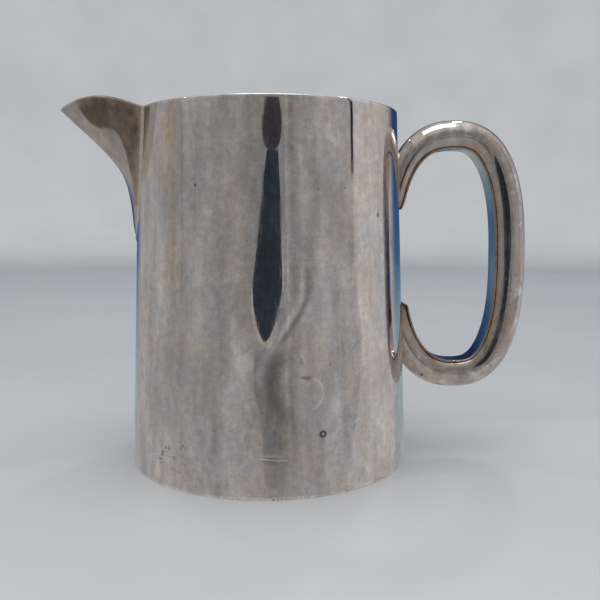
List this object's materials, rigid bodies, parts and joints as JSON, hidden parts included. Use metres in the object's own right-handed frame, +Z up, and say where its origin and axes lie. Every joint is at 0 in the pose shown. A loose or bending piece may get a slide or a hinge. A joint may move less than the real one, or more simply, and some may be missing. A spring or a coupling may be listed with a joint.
{
  "type": "water pitcher",
  "caption": "Hand-made silver water pitcher with a tapered straight-sided body, a folded beak spout and a hollow loop handle.",
  "frame": {"origin": "on the body's axis, at the underside of the base", "axes": "+Z up along the body's axis, -X out through the spout's tip, +X out through the handle's grip, +Y across the body"},
  "size_m": [0.2192, 0.1304, 0.1661],
  "materials": {
    "body_silver": "worn polished silver, warm grey, with fine scratches, dents and light tarnish",
    "spout_silver": "polished silver with brown tarnish on the spout's sides",
    "handle_silver": "polished silver, rubbed bright on the back and brown in the seams",
    "silver_solder": "satin silver solder, slightly yellow"
  },
  "bodies": {
    "root": {"body_wall": "body_silver", "base_plate": "body_silver", "base_solder": "silver_solder", "spout": "spout_silver", "spout_solder": "silver_solder", "handle_shell": "handle_silver", "handle_strap": "handle_silver", "handle_upper_solder": "silver_solder", "handle_lower_solder": "silver_solder"}
  },
  "joints": []
}
